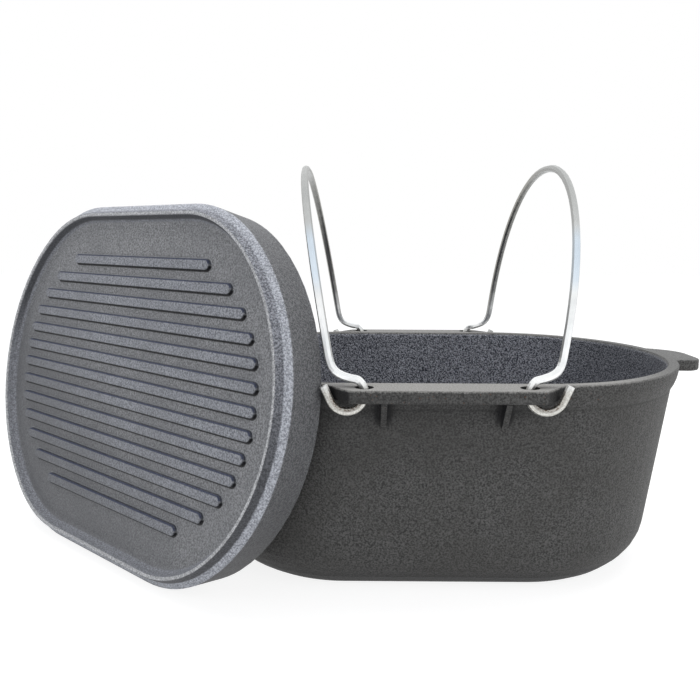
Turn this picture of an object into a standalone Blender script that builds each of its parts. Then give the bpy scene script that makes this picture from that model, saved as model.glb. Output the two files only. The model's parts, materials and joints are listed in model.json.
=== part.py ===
"""Cast iron oval roaster with a griddle lid and two wire bail handles.

Metres, +Z up. X runs along the pot, Y across it, and the origin is the centre
of the pot's base. The lid stands on its long edge and leans on the pot.
"""

import math

import bmesh
import bpy
from mathutils import Matrix, Vector

# Oval shared by the pot and the lid: straight sides, corner arcs and end arcs
CORNER_CENTRE_Y = 0.0212
END_ARC_EXCESS = 0.0053
ARC_STEPS = 10

# Pot casting
POT_LENGTH = 0.3592
POT_WIDTH = 0.2604
POT_HEIGHT = 0.1432
RIM_WIDTH = 0.0068
RIM_EDGE_ROUND = 0.0006
RIM_CHAMFER_WIDTH = 0.0015
RIM_CHAMFER_HEIGHT = 0.0026
BAND_HEIGHT = 0.016
BAND_FLARE = 0.0047
WALL_DRAFT = 0.139
WALL_THICKNESS = 0.005
FLOOR_THICKNESS = 0.006
BASE_RADIUS = 0.036

# Ledges along the pot's sides and grips at its ends
LUG_THICKNESS = 0.0082
LUG_EDGE_ROUND = 0.0008
LUG_FOOT_ROUND = 0.0016
LUG_ROOT_FILLET = 0.009
LUG_ROOT_DEPTH = 0.022
LEDGE_REACH = 0.017
LEDGE_FRONT_LENGTH = 0.113
LEDGE_END_SLOPE = math.radians(50.0)
LEDGE_CORNER_RADIUS = 0.004
GRIP_REACH = 0.0194
GRIP_WIDTH = 0.060
GRIP_TAPER = 0.007
GRIP_CORNER_RADIUS = 0.017
GRIP_FALL = 0.057
GUSSET_SPACING = 0.073
GUSSET_THICKNESS = 0.0036
GUSSET_DROP = 0.019
GUSSET_TOE = 0.002
GUSSET_MARGIN = 0.008

# Bail handles, each turning on an eye hooked through a hole in both ledges
HOLE_SPACING = 0.0964
HOLE_DIAMETER = 0.0114
HOLE_INSET = 0.0102
WIRE_DIAMETER = 0.005
EYE_RADIUS = 0.0105
EYE_DROP = 0.0040
EYE_TAIL_ANGLE = math.radians(-24.0)
EYE_TAIL_LENGTH = 0.0100
EYE_LEAVE_ANGLE = math.radians(145.0)
STEP_OUT = -0.0018
STEP_RISE = 0.0090
STEP_SLOPE = math.radians(16.0)
LEG_OUT = 0.0110
LEG_RISE = 0.0245
BAIL_WIDTH = 0.262
BAIL_LEAN = math.radians(8.7)
BAIL_SET = math.radians(0.9)
ARCH_FOOT = 0.0046
ARCH_RISE = 0.111
ARCH_POWER = 2.15

# Lid casting, measured from the griddle's floor
LID_END_INSET = 0.0044
LID_SIDE_INSET = 0.0039
LID_DEPTH = 0.0258
LID_FLOOR_THICKNESS = 0.0055
SKIRT_THICKNESS = 0.0055
SKIRT_TAPER = 0.0020
SHOULDER_RISE = 0.0005
SHOULDER_WIDTH = 0.0038
SHOULDER_ROUND = 0.0012
LIP_FOOT_RISE = 0.0022
LIP_HEIGHT = 0.0072
LIP_TOP_WIDTH = 0.0020
LIP_OUTER_RUN = 0.0023
LIP_INNER_RUN = 0.0060
LIP_INNER_POWER = 2.3
HOLLOW_RADIUS = 0.005

# Griddle ribs
RIB_COUNT = 13
RIB_MARGIN_PITCHES = 3.5
RIB_WIDTH = 0.0072
RIB_HEIGHT = 0.0023
RIB_EDGE_ROUND = 0.001
RIB_END_GAP = 0.0203
RIB_SIDE_GAP = 0.0169
RIB_FIELD_POWER = 2.2

# Where the lid stands
LID_TURN = math.radians(-132.6)
LID_LEAN = math.radians(10.6)
LID_END_BEFORE_POT = 0.0252
LID_END_BEYOND_LEDGE = 0.0197
LID_FACE_BEYOND_RIM = 0.0062

# How far a cutter or a joined shape runs past the surface it meets
OVERRUN = 0.001

LID_LENGTH = POT_LENGTH - 2.0 * LID_END_INSET
LID_WIDTH = POT_WIDTH - 2.0 * LID_SIDE_INSET
LUG_BOTTOM = POT_HEIGHT - LUG_THICKNESS
LEDGE_FRONT = POT_WIDTH / 2.0 + LEDGE_REACH
LEDGE_ROOT_X = LEDGE_FRONT_LENGTH / 2.0 + LEDGE_REACH / math.tan(LEDGE_END_SLOPE)
HOLE_X = HOLE_SPACING / 2.0
HOLE_Y = LEDGE_FRONT - HOLE_INSET
EYE_X = HOLE_X + (EYE_RADIUS + math.sqrt(EYE_RADIUS**2 - EYE_DROP**2)) / 2.0
EYE_Z = POT_HEIGHT - EYE_DROP


def clear_scene():
    for item in list(bpy.data.objects):
        bpy.data.objects.remove(item, do_unlink=True)


def collection(name):
    found = bpy.data.collections.get(name)
    if found is None:
        found = bpy.data.collections.new(name)
        bpy.context.scene.collection.children.link(found)
    return found


def material(name, colour, roughness, metallic):
    made = bpy.data.materials.new(name)
    made.use_nodes = True
    shader = made.node_tree.nodes["Principled BSDF"]
    shader.inputs["Base Color"].default_value = (*colour, 1.0)
    shader.inputs["Roughness"].default_value = roughness
    shader.inputs["Metallic"].default_value = metallic
    return made


def add_object(name, mesh, place):
    made = bpy.data.objects.new(name, mesh)
    place.objects.link(made)
    return made


def finish_mesh(name, work, place):
    """The object of a bmesh whose faces are turned outwards."""
    bmesh.ops.recalc_face_normals(work, faces=work.faces)
    mesh = bpy.data.meshes.new(name)
    work.to_mesh(mesh)
    work.free()
    return add_object(name, mesh, place)


def oval_arcs(length, width):
    """X of the centre and radius of the oval's +X end arc, then of its corner arcs."""
    end_radius = width / 2.0 + END_ARC_EXCESS
    corner_radius = width / 2.0 - CORNER_CENTRE_Y
    end_x = length / 2.0 - end_radius
    corner_x = end_x + math.sqrt((end_radius - corner_radius) ** 2 - CORNER_CENTRE_Y**2)
    return end_x, end_radius, corner_x, corner_radius


def oval(length, width, offset):
    """Points of the oval, offset outwards, anticlockwise from the +X end."""
    end_x, end_radius, corner_x, corner_radius = oval_arcs(length, width)
    turn = math.atan2(CORNER_CENTRE_Y, corner_x - end_x)
    quarter = []
    for step in range(ARC_STEPS):
        angle = turn * step / ARC_STEPS
        radius = end_radius + offset
        quarter.append((end_x + radius * math.cos(angle), radius * math.sin(angle)))
    for step in range(ARC_STEPS + 1):
        angle = turn + (math.pi / 2.0 - turn) * step / ARC_STEPS
        radius = corner_radius + offset
        quarter.append((corner_x + radius * math.cos(angle), CORNER_CENTRE_Y + radius * math.sin(angle)))
    half = quarter + [(-x, y) for x, y in reversed(quarter)]
    return half + [(-x, -y) for x, y in half[1:-1]]


def pot_oval(offset):
    return oval(POT_LENGTH, POT_WIDTH, offset)


def lid_oval(offset):
    return oval(LID_LENGTH, LID_WIDTH, offset)


def loft(name, shape, profile, place):
    """A closed solid through ovals, given as (offset, height) along its section."""
    work = bmesh.new()
    rings = []
    for offset, height in profile:
        rings.append([work.verts.new((x, y, height)) for x, y in shape(offset)])
    for low, high in zip(rings, rings[1:]):
        count = len(low)
        for index in range(count):
            after = (index + 1) % count
            work.faces.new((low[index], low[after], high[after], high[index]))
    work.faces.new(rings[0])
    work.faces.new(rings[-1])
    return finish_mesh(name, work, place)


def arc(centre_offset, centre_height, radius, start, end, steps):
    """Profile points along an arc, with angle 0 pointing outwards."""
    points = []
    for step in range(steps + 1):
        angle = start + (end - start) * step / steps
        points.append((centre_offset + radius * math.cos(angle), centre_height + radius * math.sin(angle)))
    return points


def rounded(points, radii, steps):
    """A polygon with each corner replaced by an arc of its own radius."""
    result = []
    count = len(points)
    for index, radius in enumerate(radii):
        corner = Vector(points[index])
        if radius == 0.0:
            result.append(tuple(corner))
            continue
        before = (Vector(points[index - 1]) - corner).normalized()
        after = (Vector(points[(index + 1) % count]) - corner).normalized()
        half = before.angle(after) / 2.0
        centre = corner + (before + after).normalized() * (radius / math.sin(half))
        first = corner + before * (radius / math.tan(half)) - centre
        last = corner + after * (radius / math.tan(half)) - centre
        sweep = first.angle_signed(last)
        for step in range(steps + 1):
            turned = Matrix.Rotation(-sweep * step / steps, 2) @ first
            result.append(tuple(centre + turned))
    return result


def mesh_from_curve(drawn, name, place):
    """The solid of an evaluated curve, with its caps welded on."""
    bpy.context.view_layer.update()
    graph = bpy.context.evaluated_depsgraph_get()
    mesh = bpy.data.meshes.new_from_object(drawn.evaluated_get(graph))
    matrix = drawn.matrix_world.copy()
    bpy.data.objects.remove(drawn, do_unlink=True)
    work = bmesh.new()
    work.from_mesh(mesh)
    bpy.data.meshes.remove(mesh)
    bmesh.ops.remove_doubles(work, verts=work.verts, dist=0.000001)
    made = finish_mesh(name, work, place)
    made.matrix_world = matrix
    return made


def slab(name, outline, bottom, top, place):
    """A flat outline drawn as a 2D curve and extruded between two heights."""
    curve = bpy.data.curves.new(name, "CURVE")
    curve.dimensions = "2D"
    curve.fill_mode = "BOTH"
    curve.extrude = (top - bottom) / 2.0
    spline = curve.splines.new("POLY")
    spline.points.add(len(outline) - 1)
    for point, (x, y) in zip(spline.points, outline):
        point.co = (x, y, 0.0, 1.0)
    spline.use_cyclic_u = True
    drawn = add_object(name, curve, place)
    drawn.location.z = (top + bottom) / 2.0
    return mesh_from_curve(drawn, name, place)


def join_meshes(name, items, place):
    """One object holding several meshes that don't touch."""
    work = bmesh.new()
    for item in items:
        piece = item.data.copy()
        piece.transform(item.matrix_world)
        work.from_mesh(piece)
        bpy.data.meshes.remove(piece)
        bpy.data.objects.remove(item, do_unlink=True)
    return finish_mesh(name, work, place)


def round_edges(item, top_width, bottom_width):
    """Bevels the edges around the top and bottom faces of a slab."""
    work = bmesh.new()
    work.from_mesh(item.data)
    bmesh.ops.dissolve_limit(work, angle_limit=0.001, verts=work.verts, edges=work.edges)
    steep = math.radians(60.0)
    heights = [vert.co.z for vert in work.verts]
    for height, width in ((max(heights), top_width), (min(heights), bottom_width)):
        edges = []
        for edge in work.edges:
            level = edge.verts[0].co.z == height and edge.verts[1].co.z == height
            if level and edge.calc_face_angle() > steep:
                edges.append(edge)
        bmesh.ops.bevel(work, geom=edges, offset=width, segments=2, profile=0.5, affect="EDGES")
    work.to_mesh(item.data)
    work.free()


def lower_grip(item, side):
    """Lets a grip fall gently from the rim's end to its tip."""
    work = bmesh.new()
    work.from_mesh(item.data)
    start = POT_LENGTH / 2.0
    everything = work.verts[:] + work.edges[:] + work.faces[:]
    bmesh.ops.bisect_plane(work, geom=everything, plane_co=(side * start, 0.0, 0.0), plane_no=(side, 0.0, 0.0))
    for vert in work.verts:
        vert.co.z -= GRIP_FALL * max(side * vert.co.x - start, 0.0)
    work.to_mesh(item.data)
    work.free()


def combine(target, tool, operation):
    step = target.modifiers.new(tool.name, "BOOLEAN")
    step.operation = operation
    step.solver = "EXACT"
    step.object = tool
    tool.hide_render = True
    tool.display_type = "WIRE"


def shade(item, angle):
    item.data.shade_smooth()
    item.data.set_sharp_from_angle(angle=math.radians(angle))


def base_arc(foot_offset, radius, floor, steps):
    """Profile of the round between a floor and the drafted wall above it."""
    lean = math.atan(WALL_DRAFT)
    centre = foot_offset - radius * (1.0 / math.cos(lean) - math.tan(lean))
    return arc(centre, floor + radius, radius, -math.pi / 2.0, -lean, steps)


def pot_outside():
    """Outer surface of the pot from the base up to the rim."""
    band_foot = POT_HEIGHT - BAND_HEIGHT
    wall_foot = -BAND_FLARE - WALL_DRAFT * band_foot
    band = []
    steps = 4
    for step in range(steps + 1):
        share = step / steps
        height = band_foot + (BAND_HEIGHT - RIM_EDGE_ROUND) * share
        band.append((-BAND_FLARE * (1.0 - share) ** 2, height))
    return base_arc(wall_foot, BASE_RADIUS, 0.0, 7) + band + [(-RIM_EDGE_ROUND, POT_HEIGHT)]


def pot_inside():
    """Section of the pot's cavity from its floor up past the rim."""
    band_foot = POT_HEIGHT - BAND_HEIGHT
    band_offset = -BAND_FLARE - WALL_THICKNESS
    wall_foot = band_offset - WALL_DRAFT * (band_foot - FLOOR_THICKNESS)
    return base_arc(wall_foot, BASE_RADIUS - WALL_THICKNESS, FLOOR_THICKNESS, 6) + [
        (band_offset, band_foot),
        (-RIM_WIDTH - RIM_CHAMFER_WIDTH, POT_HEIGHT - RIM_CHAMFER_HEIGHT),
        (-RIM_WIDTH, POT_HEIGHT),
        (-RIM_WIDTH, POT_HEIGHT + OVERRUN),
    ]


def side_rim(x):
    """Y of the rim's outer edge at x, along the straight side and the corner arc after it."""
    centre, radius = oval_arcs(POT_LENGTH, POT_WIDTH)[2:]
    return CORNER_CENTRE_Y + math.sqrt(radius**2 - max(x - centre, 0.0) ** 2)


def end_rim(y):
    """X of the rim's outer edge where the end arc passes y."""
    centre, radius = oval_arcs(POT_LENGTH, POT_WIDTH)[:2]
    return centre + math.sqrt(radius**2 - y**2)


def ledge_outline(side):
    """One side ledge: a straight outer edge and ends that slope back into the rim."""
    corner = LEDGE_FRONT_LENGTH / 2.0
    flank = LEDGE_ROOT_X + LUG_ROOT_DEPTH
    inner = side_rim(flank) - RIM_WIDTH / 2.0
    back = inner - LUG_ROOT_DEPTH
    root = (LEDGE_ROOT_X, side_rim(LEDGE_ROOT_X) - OVERRUN)
    half = [(flank, back), (flank, inner), root, (corner, LEDGE_FRONT)]
    radii = [0.0, 0.0, LUG_ROOT_FILLET, LEDGE_CORNER_RADIUS]
    points = half + [(-x, y) for x, y in reversed(half)]
    outline = rounded(points, radii + radii[::-1], 5)
    return [(x, side * y) for x, y in outline]


def grip_outline(side):
    """One end grip: a rounded tongue with fillets into the rim."""
    tip = POT_LENGTH / 2.0 + GRIP_REACH
    width = GRIP_WIDTH / 2.0
    flank = width + LUG_ROOT_DEPTH
    inner = end_rim(flank) - RIM_WIDTH / 2.0
    back = inner - LUG_ROOT_DEPTH
    half = [(back, flank), (inner, flank), (end_rim(width) - OVERRUN, width), (tip, width - GRIP_TAPER)]
    radii = [0.0, 0.0, LUG_ROOT_FILLET, GRIP_CORNER_RADIUS]
    points = half + [(x, -y) for x, y in reversed(half)]
    outline = rounded(points, radii + radii[::-1], 6)
    return [(side * x, y) for x, y in outline]


def gusset(x, side, place):
    """A small web under a ledge, running down into the wall."""
    wall_y = POT_WIDTH / 2.0 - BAND_FLARE
    inner_y = wall_y - WALL_THICKNESS / 2.0
    outline = [
        (side * inner_y, LUG_BOTTOM + OVERRUN),
        (side * (LEDGE_FRONT - GUSSET_MARGIN), LUG_BOTTOM + OVERRUN),
        (side * (LEDGE_FRONT - GUSSET_MARGIN), LUG_BOTTOM - GUSSET_TOE),
        (side * wall_y, LUG_BOTTOM - GUSSET_DROP),
        (side * inner_y, LUG_BOTTOM - GUSSET_DROP),
    ]
    made = slab("gusset", outline, x - GUSSET_THICKNESS / 2.0, x + GUSSET_THICKNESS / 2.0, place)
    upright = Matrix(((0.0, 0.0, 1.0, 0.0), (1.0, 0.0, 0.0, 0.0), (0.0, 1.0, 0.0, 0.0), (0.0, 0.0, 0.0, 1.0)))
    made.matrix_world = upright @ made.matrix_world
    return made


def hole(x, y, place):
    work = bmesh.new()
    radius = HOLE_DIAMETER / 2.0
    depth = LUG_THICKNESS + 2.0 * OVERRUN
    bmesh.ops.create_cone(work, cap_ends=True, segments=24, radius1=radius, radius2=radius, depth=depth)
    made = finish_mesh("hole", work, place)
    made.matrix_world = Matrix.Translation((x, y, LUG_BOTTOM + LUG_THICKNESS / 2.0))
    return made


def build_pot(parts, cutters):
    pot = loft("pot_body", pot_oval, pot_outside(), parts)
    lugs = []
    gussets = []
    holes = []
    for side in (-1.0, 1.0):
        for outline in (ledge_outline(side), grip_outline(side)):
            lug = slab("lug", outline, LUG_BOTTOM, POT_HEIGHT, cutters)
            round_edges(lug, LUG_EDGE_ROUND, LUG_FOOT_ROUND)
            lugs.append(lug)
        lower_grip(lugs[-1], side)
        for end in (-1.0, 1.0):
            gussets.append(gusset(end * GUSSET_SPACING / 2.0, side, cutters))
            holes.append(hole(end * HOLE_X, side * HOLE_Y, cutters))
    combine(pot, join_meshes("pot_lugs", lugs, cutters), "UNION")
    combine(pot, join_meshes("pot_gussets", gussets, cutters), "UNION")
    combine(pot, loft("pot_cavity", pot_oval, pot_inside(), cutters), "DIFFERENCE")
    combine(pot, join_meshes("pot_holes", holes, cutters), "DIFFERENCE")
    return pot


def bend(start, leaving, end, arriving, steps):
    """Cubic curve between two points along two directions, without its first point."""
    reach = (end - start).length / 2.0
    first = start + leaving.normalized() * reach
    second = end - arriving.normalized() * reach
    points = []
    for step in range(1, steps + 1):
        t = step / steps
        left = start * (1.0 - t) ** 3 + first * (3.0 * t * (1.0 - t) ** 2)
        points.append(left + second * (3.0 * t**2 * (1.0 - t)) + end * t**3)
    return points


def bail_half():
    """Half of a bail's centreline around its hinge, from the cut end to the apex.

    From a straight tail the wire turns around the hinge axis through the ledge's
    hole, steps out over the ledge and rises to a rounded arch in a leaning plane.
    """
    tail = Vector((-math.sin(EYE_TAIL_ANGLE), 0.0, math.cos(EYE_TAIL_ANGLE)))
    points = [tail * EYE_TAIL_LENGTH]
    points[0] += Vector((EYE_RADIUS * math.cos(EYE_TAIL_ANGLE), HOLE_Y, EYE_RADIUS * math.sin(EYE_TAIL_ANGLE)))
    turns = 20
    sweep = EYE_TAIL_ANGLE + 2.0 * math.pi - EYE_LEAVE_ANGLE
    for step in range(turns + 1):
        angle = EYE_TAIL_ANGLE - sweep * step / turns
        points.append(Vector((EYE_RADIUS * math.cos(angle), HOLE_Y, EYE_RADIUS * math.sin(angle))))
    leave = Vector((math.sin(EYE_LEAVE_ANGLE), 0.0, -math.cos(EYE_LEAVE_ANGLE)))
    rise = Vector((math.sin(BAIL_LEAN), 0.0, math.cos(BAIL_LEAN)))
    leg = Vector((LEG_OUT, BAIL_WIDTH / 2.0, LEG_RISE))
    step_y = HOLE_Y + (leg.y - HOLE_Y) / 3.0
    over = Vector((STEP_OUT, step_y, STEP_RISE))
    along = Vector((math.cos(STEP_SLOPE), 0.0, math.sin(STEP_SLOPE)))
    points += bend(points[-1], leave, over, along, 6)
    points += bend(over, along, leg, rise, 7)
    centre = leg + rise * ARCH_FOOT
    steps = 18
    for step in range(steps + 1):
        angle = math.pi / 2.0 * step / steps
        width = math.cos(angle) ** (2.0 / ARCH_POWER)
        height = math.sin(angle) ** (2.0 / ARCH_POWER)
        place = centre + rise * (ARCH_RISE * height)
        place.y = BAIL_WIDTH / 2.0 * width
        points.append(place)
    return points


def build_bail(name, side, parts):
    half = bail_half()
    line = half + [Vector((p.x, -p.y, p.z)) for p in reversed(half[:-1])]
    settle = Matrix.Rotation(-side * BAIL_SET, 3, "Y")
    curve = bpy.data.curves.new(name, "CURVE")
    curve.dimensions = "3D"
    curve.bevel_depth = WIRE_DIAMETER / 2.0
    curve.bevel_resolution = 2
    curve.use_fill_caps = True
    spline = curve.splines.new("POLY")
    spline.points.add(len(line) - 1)
    for point, place in zip(spline.points, line):
        turned = settle @ place
        point.co = (side * turned.x, turned.y, turned.z, 1.0)
    drawn = add_object(name, curve, parts)
    drawn.location = (side * EYE_X, 0.0, EYE_Z)
    return mesh_from_curve(drawn, name, parts)


def lid_profile():
    """Section of the lid from the middle of its hollow, over the edge, to the griddle floor."""
    hollow = arc(
        -SKIRT_THICKNESS - HOLLOW_RADIUS,
        -LID_FLOOR_THICKNESS - HOLLOW_RADIUS,
        HOLLOW_RADIUS,
        math.pi / 2.0,
        0.0,
        4,
    )
    lip_foot = -SHOULDER_WIDTH
    lip_outer = lip_foot - LIP_OUTER_RUN
    lip_inner = lip_outer - LIP_TOP_WIDTH
    slope = []
    steps = 3
    for step in range(steps + 1):
        share = step / steps
        height = LIP_HEIGHT * (1.0 - share) ** LIP_INNER_POWER
        slope.append((lip_inner - LIP_INNER_RUN * share, height))
    return hollow + [
        (-SKIRT_THICKNESS, -LID_DEPTH),
        (-SKIRT_TAPER, -LID_DEPTH),
        (0.0, SHOULDER_RISE - SHOULDER_ROUND),
        (-SHOULDER_ROUND, SHOULDER_RISE),
        (lip_foot, LIP_FOOT_RISE),
        (lip_outer, LIP_HEIGHT),
    ] + slope


def rib_outline(half_length, y):
    """A straight rib with round ends."""
    radius = RIB_WIDTH / 2.0
    end = arc(half_length - radius, y, radius, -math.pi / 2.0, math.pi / 2.0, 8)
    return end + [(-x, 2.0 * y - v) for x, v in end]


def ribs(cutters):
    """The griddle's ribs, as long as the lip's outline leaves room for."""
    lip = SHOULDER_WIDTH + LIP_OUTER_RUN + LIP_TOP_WIDTH
    half_width = LID_WIDTH / 2.0 - lip
    half_length = LID_LENGTH / 2.0 - lip - RIB_END_GAP
    pitch = 2.0 * half_width / (RIB_COUNT + RIB_MARGIN_PITCHES)
    made = []
    for index in range(RIB_COUNT):
        y = (index - (RIB_COUNT - 1) / 2.0) * pitch
        share = abs(y) / (half_width - RIB_SIDE_GAP)
        reach = (1.0 - share**RIB_FIELD_POWER) ** (1.0 / RIB_FIELD_POWER)
        rib = slab("rib", rib_outline(half_length * reach, y), -OVERRUN, RIB_HEIGHT, cutters)
        round_edges(rib, RIB_EDGE_ROUND, RIB_EDGE_ROUND)
        made.append(rib)
    return join_meshes("lid_ribs", made, cutters)


def lid_near_end(stand):
    """X and Y of the lid's near end, where the ledge's end and the rim's corner both keep clear.

    The end stands before the pot's front. Along the pot it is held off by the ledge
    or by the rim's corner, which reaches into the lid's hollow, whichever is further out.
    """
    y = -POT_WIDTH / 2.0 - LID_END_BEFORE_POT
    centre, radius = oval_arcs(POT_LENGTH, POT_WIDTH)[2:]
    facing = (math.cos(LID_TURN), math.sin(LID_TURN))
    rim = radius - facing[0] * centre - facing[1] * CORNER_CENTRE_Y
    face = rim + LID_FACE_BEYOND_RIM + (POT_HEIGHT - stand) * math.tan(LID_LEAN)
    return min(-LEDGE_ROOT_X - LID_END_BEYOND_LEDGE, (face - facing[1] * y) / facing[0]), y


def lid_place():
    """The lid standing on its long edge, turned and leaning back on the pot."""
    half_edge = LID_WIDTH / 2.0 - SKIRT_TAPER
    stand = half_edge * math.cos(LID_LEAN) + LID_DEPTH * math.sin(LID_LEAN)
    x, y = lid_near_end(stand)
    upright = Matrix.Rotation(math.pi / 2.0 - LID_LEAN, 4, "X")
    turn = Matrix.Rotation(LID_TURN + math.pi / 2.0, 4, "Z")
    inset = Matrix.Translation((-LID_LENGTH / 2.0, 0.0, 0.0))
    return Matrix.Translation((x, y, stand)) @ turn @ upright @ inset


def build_lid(parts, cutters):
    lid = loft("griddle_lid", lid_oval, lid_profile(), parts)
    bars = ribs(cutters)
    combine(lid, bars, "UNION")
    lid.matrix_world = lid_place()
    bars.matrix_world = lid_place()
    return lid


def main():
    clear_scene()
    parts = collection("cast_iron_roaster")
    cutters = collection("cutters")
    iron = material("cast_iron_black", (0.055, 0.055, 0.058), 0.62, 0.35)
    griddle = material("cast_iron_griddle", (0.105, 0.108, 0.115), 0.55, 0.4)
    wire = material("zinc_plated_wire", (0.62, 0.63, 0.62), 0.32, 1.0)
    pot = build_pot(parts, cutters)
    pot.data.materials.append(iron)
    shade(pot, 35.0)
    lid = build_lid(parts, cutters)
    lid.data.materials.append(griddle)
    shade(lid, 35.0)
    for name, side in (("bail_handle_left", -1.0), ("bail_handle_right", 1.0)):
        bail = build_bail(name, side, parts)
        bail.data.materials.append(wire)
        shade(bail, 60.0)


main()
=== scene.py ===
"""Materials, light and camera for the cast iron roaster and its leaning lid."""
import json
import math

import bpy
from mathutils import Matrix, Vector


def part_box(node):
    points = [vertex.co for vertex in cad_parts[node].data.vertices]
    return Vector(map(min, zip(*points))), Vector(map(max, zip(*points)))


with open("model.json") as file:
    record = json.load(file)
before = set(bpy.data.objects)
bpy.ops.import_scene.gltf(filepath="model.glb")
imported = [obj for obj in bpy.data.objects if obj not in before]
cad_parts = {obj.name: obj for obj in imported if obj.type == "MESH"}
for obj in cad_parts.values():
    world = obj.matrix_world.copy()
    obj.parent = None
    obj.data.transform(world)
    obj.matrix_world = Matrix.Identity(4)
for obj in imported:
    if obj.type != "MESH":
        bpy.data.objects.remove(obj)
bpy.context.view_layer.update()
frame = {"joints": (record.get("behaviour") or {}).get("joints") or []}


def colour(red, green, blue):
    return (red, green, blue, 1.0)


def joint_place(name):
    """Where a joint of the frame turns, in metres."""
    return next(joint["pos_m"] for joint in frame["joints"] if joint["name"] == name)


# Camera, from the photograph's perspective
IMAGE_WIDTH = 700.0
SENSOR_WIDTH = 36.0
FOCAL_PIXELS = 789.02343
CAMERA_PLACE = (-0.053444, -0.588084, 0.2312)
CAMERA_PITCH = math.radians(8.33616)
CAMERA_YAW = math.radians(0.39644)
CAMERA_ROLL = math.radians(0.21294)
CAMERA_CLIP = 0.01

# The pot and the bails, in metres
RIM_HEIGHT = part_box("pot_body")[1][2]
BAND_HEIGHT = 0.016
BAND_FOOT = RIM_HEIGHT - BAND_HEIGHT
LEDGE_THICKNESS = 0.0082
LEDGE_FOOT = RIM_HEIGHT - LEDGE_THICKNESS
GUSSET_X = 0.0365
EYE_RADIUS = 0.0105
HINGE_X, _, HINGE_Z = joint_place("right_bail_swing")

# The lid: where it stands, its oval, and the field of its ribs
LID_TURN = math.radians(-132.6)
LID_LEAN = math.radians(10.6)
LID_CENTRE = (-0.21942, -0.03681, 0.12693)
LID_LENGTH = 0.3504
LID_WIDTH = 0.2526
END_ARC_EXCESS = 0.0053
CORNER_CENTRE_Y = 0.0212
LIP_INSET = 0.0081
RIB_COUNT = 13
RIB_MARGIN_PITCHES = 3.5
RIB_RADIUS = 0.0036
RIB_END_GAP = 0.0203
RIB_SIDE_GAP = 0.0169
RIB_FIELD_POWER = 2.2

END_RADIUS = LID_WIDTH / 2.0 + END_ARC_EXCESS
END_CENTRE_X = LID_LENGTH / 2.0 - END_RADIUS
CORNER_RADIUS = LID_WIDTH / 2.0 - CORNER_CENTRE_Y
CORNER_RUN = math.sqrt((END_RADIUS - CORNER_RADIUS) ** 2 - CORNER_CENTRE_Y**2)
CORNER_CENTRE_X = END_CENTRE_X + CORNER_RUN
RIB_PITCH = (LID_WIDTH - 2.0 * LIP_INSET) / (RIB_COUNT + RIB_MARGIN_PITCHES)
RIB_FIELD_LENGTH = LID_LENGTH / 2.0 - LIP_INSET - RIB_END_GAP
RIB_FIELD_WIDTH = LID_WIDTH / 2.0 - LIP_INSET - RIB_SIDE_GAP

# Noises: scale per metre, detail and roughness
GRAIN = (880.0, 2.0, 0.6)
PEBBLE = (800.0, 2.0, 0.7)
SPECK = (900.0, 2.0, 0.7)
WIRE_GRAIN = (900.0, 3.0, 0.6)
RUST_SPOTS = (520.0, 1.0, 0.6)
WIRE_PATCH = (60.0, 3.0, 0.6)
POT_PATCH = (32.0, 3.0, 0.6)
LID_PATCH = (24.0, 3.0, 0.6)

# Spans: a mark is 0 at the first value and full at the second, or full in the middle of a span
# that band() reads. These are of a noise or of a normal's share along an axis. Those further
# down are in metres, but a crease's is of occlusion
GRAIN_SPAN = (0.30, 0.70)
SPECK_SPAN = (0.36, 0.66)
RUST_SPAN = (0.70, 0.75)
LID_PATCH_SPAN = (0.35, 0.70)
YELLOW_SPAN = (0.35, 0.65)
PIT_SPAN = (0.45, 0.60)
FLOOR_FACING = (0.3, 0.6)
TOP_FACING = (0.55, 0.9)
END_FACING = (0.4, 0.8)
FLANK_FACING = (0.70, 0.99)

# Pot: where its marks are
INWARDS = (0.02, -0.02)
OUTWARDS = (-0.02, 0.02)
INSIDE_FLOOR = (0.125, 0.110)
INSIDE_TOP = (RIM_HEIGHT - 0.0006, RIM_HEIGHT - 0.0020)
INSIDE_END = (0.100, 0.160)
# Painted shade on the upper left of the outer wall
UPPER_LEFT_SHADE_RISE = (0.060, 0.126)
UPPER_LEFT_SHADE_ALONG = (0.16, -0.10)
SEAM_EDGE = (0.0014, 0.0003)
RUST_RISE = (0.128, 0.134)
LEVEL_HEIGHT = (RIM_HEIGHT - 0.0037, RIM_HEIGHT - 0.0027)
# Where the painted sheen on the level tops fades towards the ends, and where painted shade dims them
# at the back
LEVEL_END = (0.095, 0.165)
LEVEL_BACK = (0.0, 0.12)
WORN_EDGE = (RIM_HEIGHT - 0.0014, RIM_HEIGHT - 0.0006)
RAGGED_DEPTH = 0.0034
# Painted shade in the recess beside each gusset and on the ledges' end faces
RECESS_REACH = (0.0068, 0.0038)
RECESS_START = (0.0016, 0.0019)
RECESS_RISE = (0.1155, 0.1230)
RECESS_TOP = (LEDGE_FOOT + 0.0003, LEDGE_FOOT - 0.0002)
RECESS_ACROSS = (0.1120, 0.1160)
END_FACE_ACROSS = (0.118, 0.124)
END_FACE_TOP = (RIM_HEIGHT - 0.0008, RIM_HEIGHT - 0.0020)
# Painted shade in the pot's creases, from ambient occlusion
POT_CREASE_REACH = 0.025
POT_CREASE_SPAN = (0.85, 0.30)

# Pot: tones, in pairs where the grain goes from dark to pale
OUTSIDE_TONES = (colour(0.016, 0.016, 0.016), colour(0.138, 0.137, 0.134))
INSIDE_TONES = (colour(0.018, 0.021, 0.030), colour(0.345, 0.355, 0.395))
# Worn tops, with a painted sheen in the middle of the long sides
LEVEL_WEAR_AND_SHEEN_TONES = (colour(0.185, 0.180, 0.170), colour(0.300, 0.295, 0.285))
LEVEL_END_TONES = (colour(0.070, 0.070, 0.069), colour(0.165, 0.165, 0.162))
PATCH_TONE = colour(0.052, 0.050, 0.046)
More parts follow.
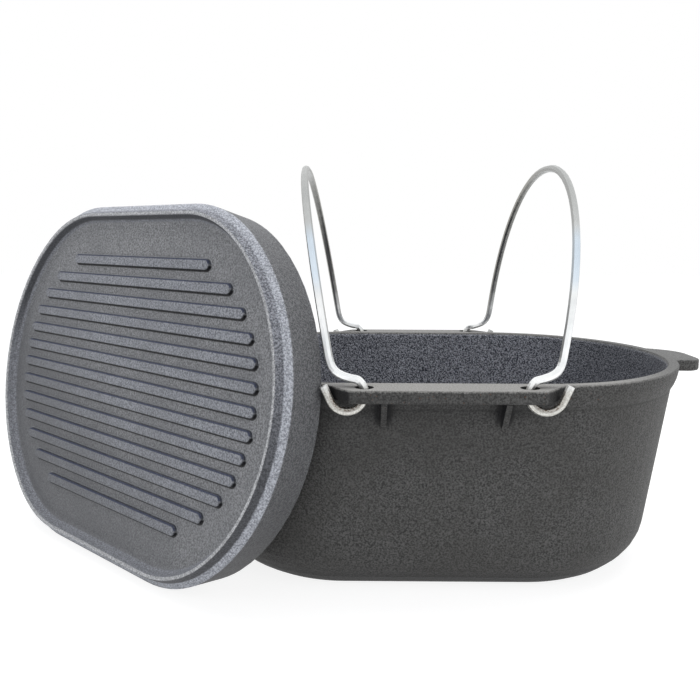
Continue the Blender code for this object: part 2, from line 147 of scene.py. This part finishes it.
# Painted shade at the upper left of the outer wall
UPPER_LEFT_SHADE_TONE = colour(0.026, 0.026, 0.026)
SEAM_TONE = colour(0.022, 0.022, 0.021)
RUST_TONE = colour(0.12, 0.055, 0.028)
INSIDE_END_TONE = colour(0.040, 0.042, 0.048)
# Painted shade on the level tops at the back
LEVEL_BACK_SHADE_TONE = colour(0.130, 0.129, 0.127)
# Painted shade in the recesses and on the ledges' end faces
RECESS_SHADE_TONE = colour(0.006, 0.006, 0.007)
# Painted shade in the pot's creases
POT_CREASE_SHADE_TONE = colour(0.008, 0.008, 0.009)

# Lid: where its marks are. RIB spans are from a rib's outline, but its halves are from its
# middle line. EDGE spans are from the oval, DEPTH spans go out of the face, SKIRT_LOW is from
# the ground, and the others are from the lid's centre
RIB_BODY = (0.0004, -0.0004)
RIB_UPPER_HALF = (0.0, 0.0012)
RIB_LOWER_HALF = (0.0, -0.0012)
# Spans of a painted highlight at a rib's foot, painted shade on its side and a painted shadow below
# it
RIB_FOOT = (0.0001, 0.0012)
RIB_SIDE = (-0.0012, 0.0002)
RIB_CONTACT = (-0.0006, 0.0014)
# Painted shade towards the lower left of the face
LOWER_LEFT_SHADE_SLANT = 1.5
LOWER_LEFT_SHADE_SPAN = (0.05, -0.2)
SLOPE_EDGE = (-0.0150, -0.0138)
SLOPE_DEPTH = (0.0002, 0.0012)
# Painted shadow just inside the lip's crest along the top
LEE_EDGE = (-0.0112, -0.0080)
LEE_RISE = (0.0, 0.06)
CREST_DEPTH = (0.0060, 0.0069)
BAND_EDGE = (-0.0066, -0.0060)
# Painted shade on the lip's outer band at the lower right
BAND_SHADE_RISE = (0.06, -0.05)
BAND_SHADE_ALONG = (-0.02, 0.08)
SHOULDER_EDGE = (-0.0043, -0.0036)
SKIRT_DEPTH = (-0.0004, -0.0020)
# Painted shade on the skirt towards the ground
SKIRT_LOW = (0.12, 0.0)
# Painted shade in the lid's creases, from ambient occlusion
LID_CREASE_REACH = 0.008
LID_CREASE_SPAN = (0.80, 0.35)

# Lid: tones, in pairs where the grain goes from dark to pale
FLOOR_TONES = (colour(0.113, 0.116, 0.122), colour(0.338, 0.342, 0.353))
RIB_TONES = (colour(0.115, 0.122, 0.140), colour(0.355, 0.367, 0.400))
SLOPE_TONES = (colour(0.120, 0.125, 0.140), colour(0.275, 0.284, 0.312))
CREST_TONES = (colour(0.250, 0.253, 0.262), colour(0.620, 0.628, 0.645))
BAND_TONES = (colour(0.080, 0.085, 0.100), colour(0.330, 0.342, 0.380))
SHOULDER_TONES = (colour(0.225, 0.235, 0.262), colour(0.560, 0.580, 0.635))
SKIRT_TONES = (colour(0.074, 0.076, 0.080), colour(0.205, 0.208, 0.218))
LID_PATCH_TONE = colour(0.150, 0.154, 0.163)
# Painted shade at the lower left of the face
LOWER_LEFT_SHADE_TONE = colour(0.090, 0.092, 0.098)
# Painted light at each rib: a highlight at the foot, shade on the side and a shadow below
RIB_FOOT_HIGHLIGHT_TONE = colour(0.30, 0.31, 0.33)
RIB_SIDE_SHADE_TONE = colour(0.012, 0.020, 0.058)
RIB_CONTACT_SHADOW_TONE = colour(0.004, 0.004, 0.005)
# Painted shadow inside the lip's crest along the top
LEE_SHADOW_TONE = colour(0.020, 0.021, 0.024)
# Painted shade on the lip's outer band at the lower right
BAND_SHADE_TONE = colour(0.030, 0.031, 0.034)
# Painted shade on the skirt's foot
SKIRT_LOW_SHADE_TONE = colour(0.045, 0.045, 0.047)
# Painted shade in the lid's creases
LID_CREASE_SHADE_TONE = colour(0.012, 0.013, 0.016)

# Bails: where their marks are
# Painted shade dulling the bails' tops
HIGH_RISE = (0.190, 0.262)
# Painted bluish reflection along the front legs
BLUISH_RISE = (0.195, 0.240)
BLUISH_ACROSS = (0.02, -0.04)
# Painted shade on the bails' back legs
BEHIND_ACROSS = (-0.01, 0.06)
BEHIND_RISE = (0.150, 0.185)
EYE_TOP = (RIM_HEIGHT + 0.004, RIM_HEIGHT - 0.004)
EYE_INNER = (EYE_RADIUS + 0.0004, EYE_RADIUS - 0.0012)

# Bails: tones
WIRE_TONES = (colour(0.84, 0.86, 0.87), colour(0.97, 0.98, 0.98))
YELLOW_TONES = (colour(0.40, 0.385, 0.34), colour(0.70, 0.69, 0.65))
# Painted shade on the bails' flanks, one tone in front and one behind
FLANK_SHADE_TONES = (colour(0.22, 0.22, 0.21), colour(0.32, 0.31, 0.28))
# Painted shade on the bails' tops
HIGH_SHADE_TONE = colour(0.34, 0.35, 0.34)
# Painted bluish reflection on the front legs
BLUISH_REFLECTION_TONE = colour(0.62, 0.78, 0.95)
# Painted shade on the bails' back legs
BEHIND_SHADE_TONE = colour(0.120, 0.118, 0.105)
PIT_TONE = colour(0.10, 0.055, 0.03)

# Surroundings
WHITE = colour(1.0, 1.0, 1.0)
FILL_LIGHT = colour(0.46, 0.47, 0.49)
FLOOR_SIZE = 8.0
FLOOR_GREY = colour(0.60, 0.60, 0.60)
FLOOR_GLOW = 1.72
FLOOR_GLOW_SHARE = 0.5
POT_MIDDLE = (0.0, 0.0, 0.1)
POT_LEFT = (-0.1, 0.0, 0.1)

# The colour sockets of a Mix node
MIX_FIRST = 6
MIX_SECOND = 7
MIX_RESULT = 2


class Graph:
    """Short calls for wiring a material's nodes."""

    def __init__(self, tree):
        self.tree = tree

    def node(self, kind, inputs=None, **settings):
        made = self.tree.nodes.new(kind)
        for name, value in settings.items():
            setattr(made, name, value)
        for key, value in (inputs or {}).items():
            self.feed(made.inputs[key], value)
        return made

    def feed(self, socket, value):
        if isinstance(value, bpy.types.NodeSocket):
            self.tree.links.new(value, socket)
        else:
            socket.default_value = value

    def math(self, operation, first, second=0.0):
        inputs = {0: first, 1: second}
        return self.node("ShaderNodeMath", inputs, operation=operation).outputs[0]

    def add(self, first, second):
        return self.math("ADD", first, second)

    def subtract(self, first, second):
        return self.math("SUBTRACT", first, second)

    def absolute(self, value):
        return self.math("ABSOLUTE", value)

    def largest(self, first, second):
        return self.math("MAXIMUM", first, second)

    def product(self, first, *others):
        for other in others:
            first = self.math("MULTIPLY", first, other)
        return first

    def spread(self, value, start, width):
        """start where the value is 0, and start + width where it is 1."""
        return self.add(self.product(value, width), start)

    def length(self, first, second):
        squares = self.add(self.product(first, first), self.product(second, second))
        return self.math("SQRT", squares)

    def step(self, value, span):
        """0 at the span's first value and 1 at its second, with a smooth change between them."""
        inputs = {"Value": value, "From Min": span[0], "From Max": span[1]}
        made = self.node("ShaderNodeMapRange", inputs, interpolation_type="SMOOTHSTEP")
        return made.outputs[0]

    def band(self, value, span):
        """1 in the middle of the span, falling off smoothly towards both of its ends."""
        middle = (span[0] + span[1]) / 2.0
        half = (span[1] - span[0]) / 2.0
        away = self.absolute(self.subtract(value, middle))
        return self.step(away, (half, half * 0.4))

    def noise(self, place, scale, detail, roughness):
        inputs = {"Vector": place, "Scale": scale, "Detail": detail, "Roughness": roughness}
        return self.node("ShaderNodeTexNoise", inputs).outputs["Fac"]

    def mix(self, share, first, second):
        made = self.node("ShaderNodeMix", {0: share}, data_type="RGBA")
        self.feed(made.inputs[MIX_FIRST], first)
        self.feed(made.inputs[MIX_SECOND], second)
        return made.outputs[MIX_RESULT]

    def speckle(self, noise, tones, span=GRAIN_SPAN):
        """The first tone where the noise is low, and the second where it is high."""
        return self.mix(self.step(noise, span), *tones)

    def tint(self, base, tone, mask, strength):
        """The base, turned towards the tone by the strength where the mask is 1."""
        return self.mix(self.product(mask, strength), base, tone)

    def dot(self, vector, direction):
        inputs = {0: vector, 1: direction}
        made = self.node("ShaderNodeVectorMath", inputs, operation="DOT_PRODUCT")
        return made.outputs["Value"]

    def split(self, vector):
        return self.node("ShaderNodeSeparateXYZ", {0: vector}).outputs

    def crease(self, reach, span):
        """1 in a narrow crease and 0 in the open, from ambient occlusion, for painted shade in
        creases.
        """
        made = self.node("ShaderNodeAmbientOcclusion", {"Distance": reach}, samples=8)
        return self.step(made.outputs["AO"], span)

    def bump(self, height, distance, strength):
        inputs = {"Height": height, "Distance": distance, "Strength": strength}
        return self.node("ShaderNodeBump", inputs).outputs["Normal"]


def start_material(name):
    """A new material, its graph, its shader, and its coordinates that ride with the object."""
    made = bpy.data.materials.new(name)
    made.use_nodes = True
    graph = Graph(made.node_tree)
    shader = made.node_tree.nodes["Principled BSDF"]
    return made, graph, shader, graph.node("ShaderNodeTexCoord").outputs


def pot_outside(graph, place, grain):
    """Charcoal, with painted shade at the upper left, a seam at the band's foot and rust above it.
    """
    x, _, z = graph.split(place)
    tone = graph.speckle(grain, OUTSIDE_TONES)
    patch = graph.step(graph.noise(place, *POT_PATCH), GRAIN_SPAN)
    tone = graph.tint(tone, PATCH_TONE, patch, strength=0.35)
    upper_left_shade = graph.product(graph.step(z, UPPER_LEFT_SHADE_RISE), graph.step(x, UPPER_LEFT_SHADE_ALONG))
    tone = graph.tint(tone, UPPER_LEFT_SHADE_TONE, upper_left_shade, strength=0.38)
    seam = graph.step(graph.absolute(graph.subtract(z, BAND_FOOT)), SEAM_EDGE)
    tone = graph.tint(tone, SEAM_TONE, seam, strength=0.4)
    spots = graph.step(graph.noise(place, *RUST_SPOTS), RUST_SPAN)
    return graph.tint(tone, RUST_TONE, graph.product(spots, graph.step(z, RUST_RISE)), strength=0.55)


def pot_inside(graph, along, pebble):
    """Bluish and pebbly, darker towards the ends."""
    tone = graph.speckle(pebble, INSIDE_TONES, SPECK_SPAN)
    return graph.tint(tone, INSIDE_END_TONE, graph.step(along, INSIDE_END), strength=0.5)


def pot_level(graph, along, y, grain):
    """The worn tops of the rim, ledges and grips, with a painted sheen that is palest in the middle
    of the near side, and painted shade at the back.
    """
    middle = graph.speckle(grain, LEVEL_WEAR_AND_SHEEN_TONES)
    end = graph.speckle(grain, LEVEL_END_TONES)
    tone = graph.mix(graph.step(along, LEVEL_END), middle, end)
    return graph.tint(tone, LEVEL_BACK_SHADE_TONE, graph.step(y, LEVEL_BACK), strength=0.35)


def inside_mask(graph, z, nz, radial):
    """1 on the pot's inner wall and floor."""
    wall = graph.step(radial, INWARDS)
    floor = graph.product(graph.step(nz, FLOOR_FACING), graph.step(z, INSIDE_FLOOR))
    return graph.product(graph.largest(wall, floor), graph.step(z, INSIDE_TOP))


def level_mask(graph, z, nz, pebble):
    """1 on the level tops, and 0.8 on the ragged edge that is worn below them."""
    top = graph.product(graph.step(nz, TOP_FACING), graph.step(z, LEVEL_HEIGHT))
    ragged = graph.add(z, graph.product(graph.subtract(pebble, 0.5), RAGGED_DEPTH))
    return graph.largest(top, graph.product(graph.step(ragged, WORN_EDGE), 0.8))


def ledge_shade(graph, along, across, z, nx, radial):
    """1 where shade is painted: in the recess beside each gusset and on the ledges' end faces."""
    beside = graph.absolute(graph.subtract(along, GUSSET_X))
    recess = graph.product(graph.step(beside, RECESS_REACH), graph.step(beside, RECESS_START))
    recess = graph.product(recess, graph.step(z, RECESS_RISE), graph.step(z, RECESS_TOP))
    recess = graph.product(recess, graph.step(radial, OUTWARDS), graph.step(across, RECESS_ACROSS))
    facing = graph.step(graph.absolute(nx), END_FACING)
    end = graph.product(facing, graph.step(across, END_FACE_ACROSS), graph.step(z, END_FACE_TOP))
    return graph.largest(recess, end)


def pot_material():
    """Sand-cast iron: charcoal outside, bluish and pebbly inside, pale on its level top."""
    made, graph, shader, places = start_material("pot_iron")
    place = places["Object"]
    x, y, z = graph.split(place)
    nx, ny, nz = graph.split(places["Normal"])
    along = graph.absolute(x)
    radial = graph.add(graph.product(x, nx), graph.product(y, ny))
    grain = graph.noise(place, *GRAIN)
    pebble = graph.noise(place, *PEBBLE)
    inside = inside_mask(graph, z, nz, radial)

    base = graph.mix(inside, pot_outside(graph, place, grain), pot_inside(graph, along, pebble))
    base = graph.mix(level_mask(graph, z, nz, pebble), base, pot_level(graph, along, y, grain))
    shade = ledge_shade(graph, along, graph.absolute(y), z, nx, radial)
    # Painted shade in the recess beside each gusset and on the ledges' end faces
    base = graph.tint(base, RECESS_SHADE_TONE, shade, strength=0.85)
    # Painted shade in the creases, from ambient occlusion
    crease = graph.crease(POT_CREASE_REACH, POT_CREASE_SPAN)
    base = graph.tint(base, POT_CREASE_SHADE_TONE, crease, strength=0.85)
    graph.feed(shader.inputs["Base Color"], base)
    graph.feed(shader.inputs["Roughness"], graph.spread(grain, start=0.50, width=0.2))
    shader.inputs["Specular IOR Level"].default_value = 0.3
    coarse = graph.product(pebble, graph.spread(inside, start=0.5, width=0.8))
    height = graph.add(graph.product(grain, 0.6), coarse)
    graph.feed(shader.inputs["Normal"], graph.bump(height, distance=0.0009, strength=1.0))
    return made


def lid_frame():
    """The lid's own axes: along its ribs, up its face, and out of its face."""
    along = Vector((-math.sin(LID_TURN), math.cos(LID_TURN), 0.0))
    flat = Vector((math.cos(LID_TURN), math.sin(LID_TURN), 0.0))
    rise = Vector((0.0, 0.0, 1.0))
    up = rise * math.cos(LID_LEAN) - flat * math.sin(LID_LEAN)
    out = flat * math.cos(LID_LEAN) + rise * math.sin(LID_LEAN)
    return along, up, out


def lid_places(graph, place):
    """How far along its ribs, up its face and out of its face a point is from the lid's centre."""
    inputs = {0: place, 1: LID_CENTRE}
    centred = graph.node("ShaderNodeVectorMath", inputs, operation="SUBTRACT").outputs[0]
    return [graph.dot(centred, axis) for axis in lid_frame()]


def outline_distance(graph, along, up):
    """Distance outside the lid's oval, negative inside it."""
    past_end = graph.subtract(along, END_CENTRE_X)
    end = graph.subtract(graph.length(past_end, up), END_RADIUS)
    past_corner = graph.largest(graph.subtract(along, CORNER_CENTRE_X), 0.0)
    over_corner = graph.subtract(up, CORNER_CENTRE_Y)
    corner = graph.subtract(graph.length(past_corner, over_corner), CORNER_RADIUS)
    border = graph.product(past_end, CORNER_CENTRE_Y / CORNER_RUN)
    at_corner = graph.math("GREATER_THAN", up, border)
    return graph.add(end, graph.product(at_corner, graph.subtract(corner, end)))


def rib_distance(graph, along, up):
    """Distance outside the nearest rib's outline, and the height over that rib's middle line."""
    index = graph.math("ROUND", graph.math("DIVIDE", up, RIB_PITCH))
    middle = graph.product(index, RIB_PITCH)
    over = graph.subtract(up, middle)
    share = graph.math("DIVIDE", graph.absolute(middle), RIB_FIELD_WIDTH)
    left = graph.subtract(1.0, graph.math("POWER", share, RIB_FIELD_POWER))
    reach = graph.math("POWER", graph.largest(left, 0.0), 1.0 / RIB_FIELD_POWER)
    straight = graph.subtract(graph.product(reach, RIB_FIELD_LENGTH), RIB_RADIUS)
    past = graph.largest(graph.subtract(along, straight), 0.0)
    distance = graph.subtract(graph.length(past, over), RIB_RADIUS)
    missing = graph.math("GREATER_THAN", graph.absolute(index), RIB_COUNT / 2.0)
    return graph.add(distance, missing), over


def griddle_face(graph, place, grain, along, up, rib):
    """Bluish ribs on a grainy floor, with soft patches, and painted shade dimming the lower left."""
    floor = graph.speckle(grain, FLOOR_TONES)
    tone = graph.mix(graph.step(rib, RIB_BODY), floor, graph.speckle(grain, RIB_TONES))
    patch = graph.step(graph.noise(place, *LID_PATCH), LID_PATCH_SPAN)
    tone = graph.tint(tone, LID_PATCH_TONE, patch, strength=0.35)
    slant = graph.add(along, graph.product(up, LOWER_LEFT_SHADE_SLANT))
    return graph.tint(tone, LOWER_LEFT_SHADE_TONE, graph.step(slant, LOWER_LEFT_SHADE_SPAN), strength=0.62)


def rib_light_and_shade(graph, tone, rib, over):
    """Painted light at each rib: a pale highlight at the foot and navy shade on the side above its
    middle, and a black painted shadow below it.
    """
    above = graph.step(over, RIB_UPPER_HALF)
    below = graph.step(over, RIB_LOWER_HALF)
    foot = graph.product(graph.band(rib, RIB_FOOT), above)
    side = graph.product(graph.band(rib, RIB_SIDE), above)
    contact = graph.product(graph.band(rib, RIB_CONTACT), below)
    tone = graph.tint(tone, RIB_FOOT_HIGHLIGHT_TONE, foot, strength=0.5)
    tone = graph.tint(tone, RIB_SIDE_SHADE_TONE, side, strength=0.85)
    return graph.tint(tone, RIB_CONTACT_SHADOW_TONE, contact, strength=0.95)


def lip_zones(graph, tone, dots, edge, along, up, depth):
    """The lip's slope, a painted shadow in its lee along the top, its pale crest, its outer band
    with painted shade at the lower right, and the shoulder outside it.
    """
    slope = graph.product(graph.step(edge, SLOPE_EDGE), graph.step(depth, SLOPE_DEPTH))
    tone = graph.mix(slope, tone, graph.mix(dots, *SLOPE_TONES))
    lee = graph.product(graph.band(edge, LEE_EDGE), graph.step(up, LEE_RISE))
    tone = graph.tint(tone, LEE_SHADOW_TONE, lee, strength=0.75)
    tone = graph.mix(graph.step(depth, CREST_DEPTH), tone, graph.mix(dots, *CREST_TONES))
    band_shade = graph.product(graph.step(up, BAND_SHADE_RISE), graph.step(along, BAND_SHADE_ALONG))
    band = graph.tint(graph.mix(dots, *BAND_TONES), BAND_SHADE_TONE, band_shade, strength=0.75)
    tone = graph.mix(graph.step(edge, BAND_EDGE), tone, band)
    return graph.mix(graph.step(edge, SHOULDER_EDGE), tone, graph.mix(dots, *SHOULDER_TONES))


def lid_skirt(graph, dots, z):
    """Plainer than the face, with painted shade darker towards the ground."""
    skirt = graph.mix(dots, *SKIRT_TONES)
    return graph.tint(skirt, SKIRT_LOW_SHADE_TONE, graph.step(z, SKIRT_LOW), strength=0.6)


def lid_material():
    """Cast iron griddle: bluish ribs with painted shade in the creases, a speckled lip, a plainer
    skirt.
    """
    made, graph, shader, places = start_material("griddle_iron")
    place = places["Object"]
    along, up, depth = lid_places(graph, place)
    away = graph.absolute(along)
    edge = outline_distance(graph, away, graph.absolute(up))
    rib, over = rib_distance(graph, away, up)
    grain = graph.noise(place, *GRAIN)
    speck = graph.noise(place, *SPECK)
    dots = graph.step(speck, SPECK_SPAN)

    base = griddle_face(graph, place, grain, along, up, rib)
    base = rib_light_and_shade(graph, base, rib, over)
    base = lip_zones(graph, base, dots, edge, along, up, depth)
    skirt = lid_skirt(graph, dots, graph.split(place)[2])
    base = graph.mix(graph.step(depth, SKIRT_DEPTH), base, skirt)
    # Painted shade in the creases, from ambient occlusion
    crease = graph.crease(LID_CREASE_REACH, LID_CREASE_SPAN)
    base = graph.tint(base, LID_CREASE_SHADE_TONE, crease, strength=0.6)
    graph.feed(shader.inputs["Base Color"], base)
    graph.feed(shader.inputs["Roughness"], graph.spread(speck, start=0.46, width=0.2))
    shader.inputs["Metallic"].default_value = 0.1
    shader.inputs["Specular IOR Level"].default_value = 0.35
    height = graph.add(graph.product(grain, 0.5), graph.product(speck, 0.7))
    graph.feed(shader.inputs["Normal"], graph.bump(height, distance=0.0008, strength=0.9))
    return made


def wire_tone(graph, place, normal):
    """Bright in front, with painted shade that dulls the top, the back and the flanks, and a painted
    bluish reflection on a stretch of the front.
    """
    _, y, z = graph.split(place)
    tone = graph.speckle(graph.noise(place, *WIRE_PATCH), WIRE_TONES)
    tone = graph.tint(tone, HIGH_SHADE_TONE, graph.step(z, HIGH_RISE), strength=0.8)
    bluish = graph.product(graph.band(z, BLUISH_RISE), graph.step(y, BLUISH_ACROSS))
    tone = graph.tint(tone, BLUISH_REFLECTION_TONE, bluish, strength=0.5)
    behind = graph.product(graph.step(y, BEHIND_ACROSS), graph.step(z, BEHIND_RISE))
    tone = graph.tint(tone, BEHIND_SHADE_TONE, behind, strength=0.75)
    # Painted shade on the flanks, where the normal turns sideways
    flank = graph.step(graph.absolute(graph.split(normal)[0]), FLANK_FACING)
    return graph.tint(tone, graph.mix(behind, *FLANK_SHADE_TONES), flank, strength=0.85)


def eye_pits(graph, place, eye, fine):
    """1 in the rusty pits on the inner side of each eye, about the bails' hinges."""
    x, _, z = graph.split(place)
    across = graph.subtract(graph.absolute(x), HINGE_X)
    middle = graph.length(across, graph.subtract(z, HINGE_Z))
    return graph.product(graph.step(middle, EYE_INNER), eye, graph.step(fine, PIT_SPAN))


def wire_material():
    """Zinc on drawn steel wire, yellowed and pitted at the eyes."""
    made, graph, shader, places = start_material("zinc_wire")
    place = places["Object"]
    fine = graph.noise(place, *WIRE_GRAIN)
    eye = graph.step(graph.split(place)[2], EYE_TOP)
    base = wire_tone(graph, place, places["Normal"])
    base = graph.tint(base, graph.speckle(fine, YELLOW_TONES, YELLOW_SPAN), eye, strength=0.85)
    base = graph.mix(eye_pits(graph, place, eye, fine), base, PIT_TONE)
    graph.feed(shader.inputs["Base Color"], base)
    rough = graph.spread(fine, start=0.24, width=0.2)
    graph.feed(shader.inputs["Roughness"], graph.add(rough, graph.product(eye, 0.12)))
    shader.inputs["Metallic"].default_value = 0.9
    graph.feed(shader.inputs["Normal"], graph.bump(fine, distance=0.0002, strength=0.35))
    return made


def unlit_rays(graph):
    """1 for rays that should see the plain white surroundings."""
    path = graph.node("ShaderNodeLightPath").outputs
    seen = graph.largest(path["Is Camera Ray"], path["Is Glossy Ray"])
    return graph.largest(seen, path["Is Transmission Ray"])


def build_world():
    """White to the camera and to what mirrors or passes light, and a soft grey fill for the rest."""
    world = bpy.data.worlds.new("studio")
    bpy.context.scene.world = world
    world.use_nodes = True
    graph = Graph(world.node_tree)
    background = world.node_tree.nodes["Background"]
    graph.feed(background.inputs["Color"], graph.mix(unlit_rays(graph), FILL_LIGHT, WHITE))


def build_floor():
    """A pale floor that stays white to the camera but keeps the object's shadow."""
    bpy.ops.mesh.primitive_plane_add(size=FLOOR_SIZE, location=(0.0, 0.0, 0.0))
    floor = bpy.context.object
    floor.name = "floor"
    made = bpy.data.materials.new("floor_white")
    made.use_nodes = True
    graph = Graph(made.node_tree)
    shader = made.node_tree.nodes["Principled BSDF"]
    shader.inputs["Base Color"].default_value = FLOOR_GREY
    shader.inputs["Roughness"].default_value = 0.9
    shader.inputs["Specular IOR Level"].default_value = 0.1
    glow = graph.node("ShaderNodeEmission", {"Color": WHITE, "Strength": FLOOR_GLOW}).outputs[0]
    share = graph.product(unlit_rays(graph), FLOOR_GLOW_SHARE)
    mixed = graph.node("ShaderNodeMixShader", {0: share, 1: shader.outputs[0], 2: glow}).outputs[0]
    graph.feed(made.node_tree.nodes["Material Output"].inputs["Surface"], mixed)
    floor.data.materials.append(made)


def area_light(name, place, target, size, power, tint):
    """A soft lamp that glossy surfaces don't mirror."""
    light = bpy.data.lights.new(name, "AREA")
    light.shape = "RECTANGLE"
    light.size, light.size_y = size
    light.energy = power
    light.color = tint
    lamp = bpy.data.objects.new(name, light)
    bpy.context.scene.collection.objects.link(lamp)
    lamp.location = place
    lamp.rotation_euler = (Vector(target) - Vector(place)).to_track_quat("-Z", "Y").to_euler()
    lamp.visible_glossy = False


def build_lights():
    area_light(
        "overhead", place=(0.0, 0.25, 1.5), target=POT_MIDDLE,
        size=(1.8, 1.4), power=22.0, tint=(1.0, 1.0, 1.0),
    )
    area_light(
        "front_right", place=(1.0, -1.4, 0.9), target=POT_MIDDLE,
        size=(1.0, 1.0), power=7.0, tint=(1.0, 0.99, 0.97),
    )
    area_light(
        "front_left", place=(-1.4, -1.1, 0.8), target=POT_LEFT,
        size=(1.0, 1.0), power=7.0, tint=(0.97, 0.98, 1.0),
    )


def build_camera():
    camera = bpy.data.cameras.new("camera")
    camera.sensor_width = SENSOR_WIDTH
    camera.lens = FOCAL_PIXELS / IMAGE_WIDTH * SENSOR_WIDTH
    camera.clip_start = CAMERA_CLIP
    holder = bpy.data.objects.new("camera", camera)
    bpy.context.scene.collection.objects.link(holder)
    yaw = Matrix.Rotation(CAMERA_YAW, 4, "Z")
    pitch = Matrix.Rotation(math.pi / 2.0 - CAMERA_PITCH, 4, "X")
    roll = Matrix.Rotation(CAMERA_ROLL, 4, "Z")
    holder.matrix_world = Matrix.Translation(CAMERA_PLACE) @ yaw @ pitch @ roll
    bpy.context.scene.camera = holder


def dress(node, material):
    for slot in bpy.data.objects[node].material_slots:
        slot.material = material


build_camera()
dress("pot_body", pot_material())
dress("griddle_lid", lid_material())
wire = wire_material()
dress("bail_handle_left", wire)
dress("bail_handle_right", wire)
build_world()
build_floor()
build_lights()

view = bpy.context.scene.view_settings
view.view_transform = "Standard"
